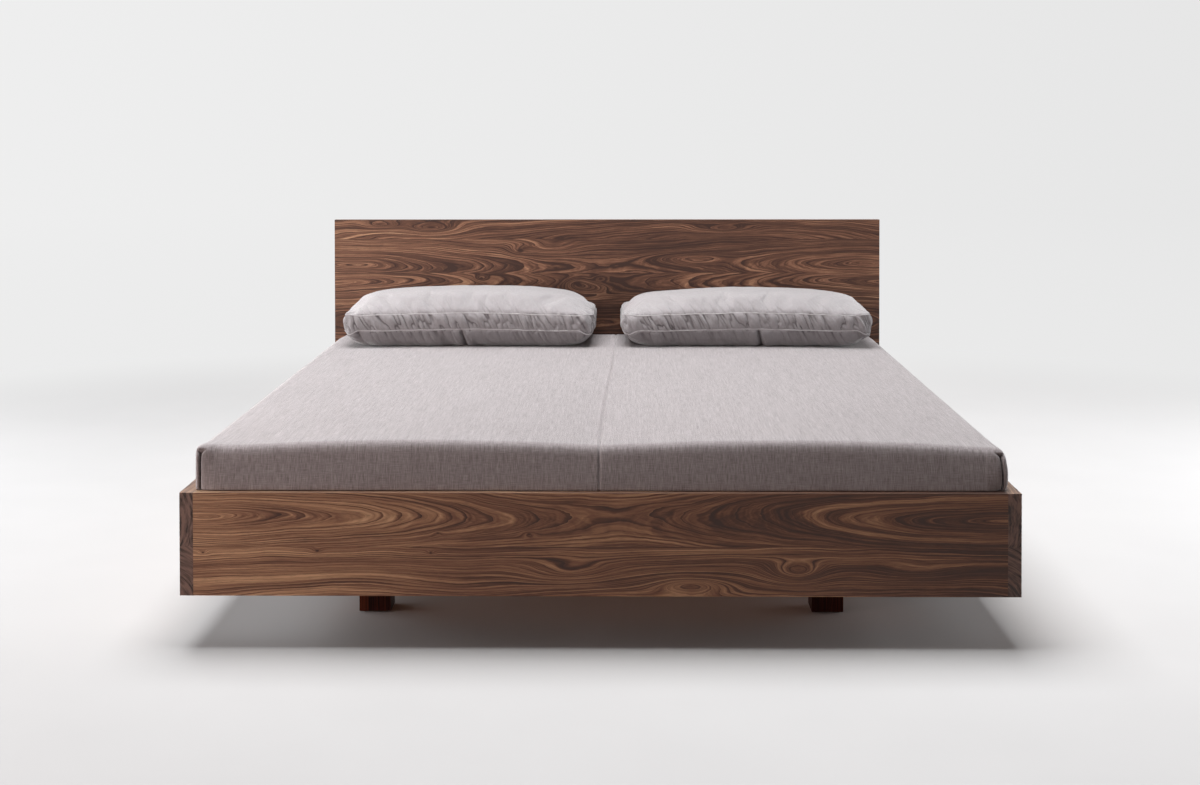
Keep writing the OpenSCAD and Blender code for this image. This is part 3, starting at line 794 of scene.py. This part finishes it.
def rounded_block(low, high, radius, step):
    """The points and faces of a box with rounded edges."""
    lines = [eased(low[k], high[k], radius, step) for k in range(3)]
    index, points, faces = {}, [], []

    def point(key):
        if key not in index:
            p = np.array([lines[k][key[k]] for k in range(3)])
            core = np.clip(p, np.array(low) + radius, np.array(high) - radius)
            away = p - core
            length = np.linalg.norm(away)
            index[key] = len(points)
            points.append(core + away / length * radius if length > 0 else p)
        return index[key]

    for k in range(3):
        a, b = (k + 1) % 3, (k + 2) % 3
        for at, flip in ((0, True), (len(lines[k]) - 1, False)):
            for i in range(len(lines[a]) - 1):
                for j in range(len(lines[b]) - 1):
                    keys = []
                    for da, db in ((0, 0), (1, 0), (1, 1), (0, 1)):
                        key = [0, 0, 0]
                        key[k], key[a], key[b] = at, i + da, j + db
                        keys.append(point(tuple(key)))
                    faces.append(tuple(keys[::-1] if flip else keys))
    return np.array(points), faces


def build_mattress(side):
    low, high = (np.array(corner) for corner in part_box(side + "_mattress"))
    points, faces = rounded_block(low + MATTRESS_GAP * np.array([1, 1, 0]), high - MATTRESS_GAP,
                                  MATTRESS_ROUND, MATTRESS_STEP)
    piece = mesh_object(side + "_foam_mattress", points, faces, ticking)
    normal = vertices(piece, "normal")
    x, y, z = points.T
    shoulder = (np.abs(x) / HALF_X) ** 5 * smooth_step(z, low[2] + 0.1, high[2])
    flat = np.abs(normal[:, 2]) ** 4
    quilt = np.abs(np.sin(math.pi * (x + y) / QUILT) * np.sin(math.pi * (x - y) / QUILT)) ** 0.5
    border = np.abs(np.sin(math.pi * (z - low[2]) / (high[2] - low[2]) * 4)) ** 0.4
    shift = -2.5 * MM * (1 - quilt) * flat - 1.2 * MM * (1 - border) * (1 - flat)
    points += normal * shift[:, None]
    points[:, 2] -= SHOULDER * shoulder
    set_points(piece, points)
    subdivide(piece)
    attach(piece, "mattresses")
    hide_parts(side + "_mattress")


for side in SIDES:
    build_mattress(side)


# -------- the pillows

PANEL_CELL = 0.0080
GUSSET_ROWS = 6
SEAM_LOW, SEAM_HIGH = 0.054, 0.105   # heights of the two seams above the cover
PIPING = 0.0017                      # radius of the piping in them
CORNER = 0.048                       # radius of the corners in plan
UNDERSIDE = 0.0035                   # lowest height of the cloth, before the pillow is set down
SIM_FRAMES, SIM_LIMIT = 18, 0.016    # length of the simulation, and how far it may move a point
CLOTH_SETTINGS = {
    "quality": 6, "mass": 0.2, "air_damping": 4.0, "tension_stiffness": 14.0, "compression_stiffness": 14.0,
    "shear_stiffness": 6.0, "bending_stiffness": 0.12, "use_pressure": True, "uniform_pressure_force": 4.0,
    "shrink_min": -0.06, "shrink_max": 0.10}
# How high each pillow stands, where along X its front is pinched, and how far its left and right ends
# stay inside the box of its CAD solid
Pillow = namedtuple("Pillow", "side height pinch left right seed")


def panel(border, columns, rows):
    """A grid of points that fills the border of a panel."""
    front, right = border[:columns + 1], border[columns:columns + rows + 1]
    back = border[columns + rows:2 * columns + rows + 1][::-1]
    left = np.concatenate([border[2 * columns + rows:], border[:1]])[::-1]
    u = np.linspace(0, 1, columns + 1)[None, :, None]
    v = np.linspace(0, 1, rows + 1)[:, None, None]
    grid = (1 - v) * front[None] + v * back[None] + (1 - u) * left[:, None] + u * right[:, None]
    return grid - ((1 - u) * (1 - v) * front[0] + u * (1 - v) * front[-1]
                   + (1 - u) * v * back[0] + u * v * back[-1])


def pillow_outline(half, corner, columns, rows):
    """The edge of a panel with rounded corners, from the front left corner round to the right."""
    xs, ys = np.linspace(-1, 1, columns + 1)[:-1], np.linspace(-1, 1, rows + 1)[:-1]
    border = half * np.array([(x, -1) for x in xs] + [(1, y) for y in ys]
                             + [(-x, 1) for x in xs] + [(-1, -y) for y in ys])
    core = np.clip(border, corner - half, half - corner)
    away = border - core
    return core + away / np.maximum(np.linalg.norm(away, axis=1), 1e-9)[:, None] * corner


def pillow_mesh(pillow, half):
    """A boxed pillow: two panels and a gusset between two seams. Also gives the rings of vertices
    that lie in the lower and the upper seam."""
    columns, rows = 2 * round(half[0] / PANEL_CELL), 2 * round(half[1] / PANEL_CELL)
    border = pillow_outline(half, CORNER, columns, rows)
    loop = len(border)
    grid = panel(border, columns, rows)
    u, v = np.abs(grid[..., 0]) / half[0], np.abs(grid[..., 1]) / half[1]
    dome = np.clip(1 - u ** 3.4, 0, 1) ** 0.55 * np.clip(1 - v ** 2.6, 0, 1) ** 0.58
    belly = np.clip(1 - u ** 14, 0, 1) ** 0.6 * np.clip(1 - v ** 9, 0, 1) ** 0.6
    upper, lower = SEAM_HIGH + (pillow.height - SEAM_HIGH) * dome, SEAM_LOW * (1 - belly)
    layers = [np.dstack([grid, upper]).reshape(-1, 3), np.dstack([grid, lower]).reshape(-1, 3)]
    for row in range(1, GUSSET_ROWS):
        share = row / GUSSET_ROWS
        out = 1 + 0.005 * math.sin(math.pi * share) / np.linalg.norm(border, axis=1)
        level = np.full(loop, SEAM_LOW + (SEAM_HIGH - SEAM_LOW) * share)
        layers.append(np.column_stack([border * out[:, None], level]))
    across, size = columns + 1, (columns + 1) * (rows + 1)
    cells = grid_faces(columns, rows)
    faces = cells + [tuple(size + k for k in reversed(cell)) for cell in cells]
    edge = (list(range(columns)) + [i * across + columns for i in range(rows)]
            + [rows * across + j for j in range(columns, 0, -1)] + [i * across for i in range(rows, 0, -1)])
    rings = [[size + k for k in edge]]
    rings += [[2 * size + row * loop + k for k in range(loop)] for row in range(GUSSET_ROWS - 1)]
    rings += [edge]
    for below, above in zip(rings, rings[1:]):
        faces += band(below, above)
    piece = mesh_object(pillow.side + "_boxed_pillow", np.concatenate(layers), faces, pillow_cloth)
    return piece, rings[0], rings[-1]


def inflate(piece, seams):
    """Fills the pillow by cloth simulation: air pressure inside, and seams that draw the cloth in."""
    group = piece.vertex_groups.new(name="seams")
    group.add(seams, 1.0, "REPLACE")
    rest = vertices(piece)
    modifier = piece.modifiers.new("cloth", "CLOTH")
    for setting, value in CLOTH_SETTINGS.items():
        setattr(modifier.settings, setting, value)
    modifier.settings.vertex_group_shrink = group.name
    modifier.settings.effector_weights.gravity = 0.0
    modifier.collision_settings.use_collision = False
    scene = bpy.context.scene
    for step in range(1, SIM_FRAMES + 1):
        scene.frame_set(step)
    moved = vertices(shown(piece)) - rest
    far = np.linalg.norm(moved, axis=1)
    piece.modifiers.remove(modifier)
    scene.frame_set(1)
    set_points(piece, rest + moved * (np.minimum(far, SIM_LIMIT) / np.maximum(far, 1e-9))[:, None])


def refine(piece):
    """Splits every face in sixteen and smooths the mesh. The first vertices stay the old ones."""
    modifier = subdivide(piece, "refine", 2)
    mesh = bpy.data.meshes.new_from_object(shown(piece))
    piece.modifiers.remove(modifier)
    piece.data = mesh
    piece.data.shade_smooth()


def nearest_on(curve, points):
    """For each point, how far it is from a closed curve and where along the curve that is."""
    tree = KDTree(len(curve))
    for k, place in enumerate(curve):
        tree.insert(place, k)
    tree.balance()
    ahead = ahead_on(curve)
    step = np.linalg.norm(np.roll(curve, -1, axis=0) - curve, axis=1)
    gone = np.concatenate([[0.0], np.cumsum(step)[:-1]])
    near = np.array([tree.find(place)[1] for place in points])
    away = points - curve[near]
    past = np.sum(away * ahead[near], axis=1)
    return np.sqrt(np.maximum(np.sum(away * away, axis=1) - past * past, 0.0)), gone[near] + past


def creases(along, away, width, length, lean, seed):
    """Puffs of cloth between narrow creases that run away from a seam, about one to each width. Gives
    the height of the cloth and how deep in a crease each point is, from 0 to 1."""
    at = np.column_stack([(along + lean * away) / width, away / length, np.zeros(len(along))])
    wave = np.abs(value_noise(at, seed) + 0.35 * value_noise(at * (2.3, 1.6, 1.0), seed + 1))
    return 2.0 * np.sqrt(wave + 0.01) - 0.9, bell(wave, 0.12)


def build_pillow(pillow):
    low, high = (np.array(corner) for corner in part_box(pillow.side + "_pillow"))
    low[0] += pillow.left
    high[0] -= pillow.right
    middle, half = (low + high) / 2, ((high - low) / 2)[:2]
    piece, low_ring, high_ring = pillow_mesh(pillow, half - 0.003)
    inflate(piece, low_ring + high_ring)
    points = vertices(piece)
    # The filling is trued up: the seams and the crown at their heights, the outline at its size
    level = (0.0, points[low_ring, 2].mean(), points[high_ring, 2].mean(), points[:, 2].max())
    points[:, 2] = np.interp(points[:, 2], level, (0.0, SEAM_LOW, SEAM_HIGH, pillow.height))
    points[:, :2] *= (half - 0.001) / np.abs(points[:, :2]).max(axis=0)
    set_points(piece, points)
    refine(piece)

    # Every point lies on the gusset between the seams, on the panel above, or on the panel below
    points, normal = vertices(piece), vertices(piece, "normal")
    x, y, z = points.T
    seed = pillow.seed
    low_away, low_along = nearest_on(points[low_ring], points)
    high_away, high_along = nearest_on(points[high_ring], points)
    gusset = (z > SEAM_LOW - 0.004) & (z < SEAM_HIGH + 0.002) & (np.abs(normal[:, 2]) < 0.8)
    above = (z > SEAM_HIGH) & ~gusset
    below = ~above & ~gusset

    # Creases fan out from the seams over both panels, and run from seam to seam on the gusset. shift
    # is how far the cloth moves out, in millimetres, and deep is painted shade: how dark the cloth gets
    # in the creases
    high_folds, high_deep = creases(high_along, high_away, 0.024, 0.10, 0.55, seed)
    low_folds, low_deep = creases(low_along, low_away, 0.017, 0.09, -0.55, seed + 7)
    side_folds, side_deep = creases(high_along, z, 0.014, 0.05, 0.50, seed + 3)
    low_rise, high_rise = 1 - np.exp(-low_away / 0.006), 1 - np.exp(-high_away / 0.006)
    shift = 4.0 * above * high_folds * np.exp(-high_away / 0.034) * high_rise
    shift += 4.8 * gusset * side_folds * np.minimum(high_rise, low_rise)
    shift += 4.5 * below * low_folds * np.exp(-low_away / 0.030) * low_rise
    deep = 0.6 * above * high_deep * np.exp(-high_away / 0.026) + gusset * side_deep
    deep += below * low_deep * np.exp(-low_away / 0.030)
    patches = np.clip(0.65 + 0.7 * value_noise(points * 16.0, seed + 21), 0.25, 1.2)
    # Painted shade: the gusset and, more, the lower panel are darkened all over, as less light reaches them
    deep = 0.62 * deep * patches + 0.19 * gusset + 0.46 * below

    # Crumpled corners, a grain of small dents, and a slow swell of the upper panel
    corner = (smooth_step(np.abs(x), half[0] - 0.12, half[0])
              * smooth_step(np.abs(y), half[1] - 0.11, half[1]))
    shift += 6.0 * corner * value_noise(points * 46.0, seed + 11)
    shift += 1.1 * value_noise(points * 26.0, seed + 13)
    swell = value_noise(np.column_stack([x / 0.21, y / 0.25, np.zeros(len(x))]), seed + 17)
    shift += 4.5 * above * swell * smooth_step(high_away, 0.02, 0.10)

    # The cloth is gathered in a pinch in the middle of the front, under the lower seam
    near = (smooth_step(-y, 0.4 * half[1], 0.9 * half[1])
            * smooth_step(-z, -SEAM_LOW - 0.004, -SEAM_LOW + 0.010))
    aside = x - pillow.pinch - 0.25 * (SEAM_LOW - z)
    shift -= near * (11.0 * bell(aside, 0.0055) - 4.0 * bell(np.abs(aside) - 0.020, 0.012))
    points += normal * MM * shift[:, None]

    # Both seams draw up a little to the middle of the front, and the underside lies on the cover
    draw = np.cos(0.5 * math.pi * np.clip(x / half[0], -1, 1)) * smooth_step(points[:, 2], 0.02, 0.06)
    points[:, 2] += 0.006 * draw
    easing = 0.005
    sunk = points[:, 2] < UNDERSIDE + easing
    points[sunk, 2] = UNDERSIDE + easing * np.exp((points[sunk, 2] - UNDERSIDE - easing) / easing)
    points += (middle[0], middle[1], low[2] - 0.003)
    set_points(piece, points)
    # The painted shade is stored on the mesh for the cloth's material
    piece.data.attributes.new("crease", "FLOAT", "POINT").data.foreach_set("value", deep)

    body = pillow.side + "_pillow_body"
    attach(piece, body)
    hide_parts(pillow.side + "_pillow")
    for name, ring in (("lower", low_ring), ("upper", high_ring)):
        piping = tube(f"{pillow.side}_pillow_{name}_piping", points[ring], PIPING, piping_cloth)
        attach(piping, body)


build_pillow(Pillow("left", height=0.177, pinch=-0.022, left=0.012, right=0.0, seed=100))
build_pillow(Pillow("right", height=0.171, pinch=0.036, left=0.003, right=0.015, seed=200))


# -------- studio

BACKDROP = 0.825         # brightness of the backdrop straight behind the bed
BACKDROP_FALL = 0.0042   # how much darker it gets for each metre to the right


def backdrop_glow(g):
    """Light of the backdrop's colour, from a surface itself."""
    x, y, z = g.axes()
    value = g.times_plus(x, -BACKDROP_FALL, BACKDROP)
    return g.fed(g.add("Emission"), g.vector(value, value, value))


def stage_object(name, points, faces, material):
    piece = mesh_object(name, points, faces, material)
    return piece


def level_square(half, z):
    return [(-half, -half, z), (half, -half, z), (half, half, z), (-half, half, z)], [(0, 1, 2, 3)]


def build_floor():
    """The floor that the camera sees. Away from the bed it turns into the backdrop."""
    g = Shader("studio_floor", Roughness=0.9, Specular_IOR_Level=0.1)
    x, y, z = g.axes()
    shade = g.times_plus(x, 0.050, g.times_plus(g.speckle(3.0), 0.03, 0.480))
    g.colour(g.vector(shade, shade, shade))
    far = g.math("SQRT", g.plus(g.times(x, x), g.times(y, y)))
    share = g.fed(g.add("MapRange", interpolation_type="SMOOTHSTEP"), far, 1.9, 4.2, 0.0, 1.0)
    g.show(g.fed(g.add("MixShader"), share, g.bsdf.outputs[0], backdrop_glow(g)))
    stage_object("studio_floor", *level_square(18.0, 0.0), g.material).visible_diffuse = False


def build_bounce():
    """Stands for the floor where light bounces back from it: seen by the bed, not by the camera."""
    g = Shader("bounce_floor", Roughness=1.0, Specular_IOR_Level=0.0)
    g.colour(g.ramp(g.speckle(3.0), (0.3, (0.245, 0.184, 0.168)), (0.7, (0.260, 0.196, 0.178))))
    piece = stage_object("bounce_floor", *level_square(9.0, -0.002), g.material)
    piece.visible_camera = piece.visible_glossy = False


def build_backdrop():
    """A dome round the set that only the camera sees."""
    radius, turns, steps = 17.0, 48, 16
    around = np.linspace(0.0, 2.0 * math.pi, turns, endpoint=False)
    tilts = np.linspace(-math.pi / 2, math.pi / 2, steps + 1)
    points = [(radius * math.cos(tilt) * math.cos(turn), radius * math.cos(tilt) * math.sin(turn),
               radius * math.sin(tilt)) for tilt in tilts for turn in around]
    rows = [np.arange(turns) + i * turns for i in range(steps + 1)]
    faces = [face for below, above in zip(rows, rows[1:]) for face in band(below, above)]
    g = Shader("studio_backdrop")
    g.show(backdrop_glow(g))
    piece = stage_object("studio_backdrop", points, faces, g.material)
    piece.visible_diffuse = piece.visible_shadow = piece.visible_transmission = False


def area_light(name, place, target, width, height, colour, watts):
    light = bpy.data.lights.new(name, "AREA")
    light.shape = "RECTANGLE"
    light.size, light.size_y = width, height
    light.energy = watts
    light.color = colour
    lamp = bpy.data.objects.new(name, light)
    lamp.location = place
    lamp.rotation_euler = (Vector(target) - Vector(place)).to_track_quat("-Z", "Y").to_euler()
    lamp.visible_camera = False
    bpy.context.scene.collection.objects.link(lamp)


build_floor()
build_bounce()
build_backdrop()
area_light("overhead_softbox", (-0.7, 0.15, 5.3), (-0.7, 0.15, 0.0), 4.2, 4.2, (0.985, 0.99, 1.0), 530.0)
area_light("front_fill", (-3.6, -3.0, 0.5), (-0.6, -1.0, 0.3), 1.6, 0.8, (1.0, 0.765, 0.70), 56.0)
area_light("left_wall", (-3.6, 0.2, 0.64), (0.0, 0.2, 0.1), 3.6, 1.1, (0.97, 0.98, 1.0), 115.0)
area_light("right_wall", (3.6, 0.4, 0.64), (0.0, 0.4, 0.1), 3.2, 1.1, (0.97, 0.98, 1.0), 62.0)
area_light("rear_fill", (0.0, 4.6, 0.6), (0.0, 1.0, 0.4), 3.0, 0.9, (1.0, 0.95, 0.92), 42.0)
# Light that gets in under the frame from its sides, and warm light there from the wood
area_light("left_spill", (-0.80, -0.05, 0.118), (-0.80, -0.05, 0.0), 0.28, 1.85, (0.98, 0.98, 1.0), 0.60)
area_light("right_spill", (0.87, -0.05, 0.118), (0.87, -0.05, 0.0), 0.10, 1.85, (0.98, 0.98, 1.0), 0.10)
area_light("under_glow", (0.0, -0.05, 0.118), (0.0, -0.05, 0.0), 1.5, 1.6, (1.0, 0.30, 0.05), 0.34)

world = bpy.data.worlds.new("studio")
world.use_nodes = True
background = world.node_tree.nodes["Background"]
background.inputs["Color"].default_value = (1.0, 0.76, 0.68, 1.0)
background.inputs["Strength"].default_value = 0.09
bpy.context.scene.world = world
bpy.context.scene.view_settings.view_transform = "Standard"

# The photo's camera: it looks almost level, and the shift lowers its framing to the bed
camera = bpy.data.cameras.new("camera")
camera.lens = 50.23
camera.shift_y = -0.2006
camera.clip_end = 60.0
eye = bpy.data.objects.new("camera", camera)
eye.location = (0.0470, -4.7351, 1.1781)
eye.rotation_euler = (math.radians(90 - 1.085), math.radians(0.068), math.radians(0.689))
bpy.context.scene.collection.objects.link(eye)
bpy.context.scene.camera = eye
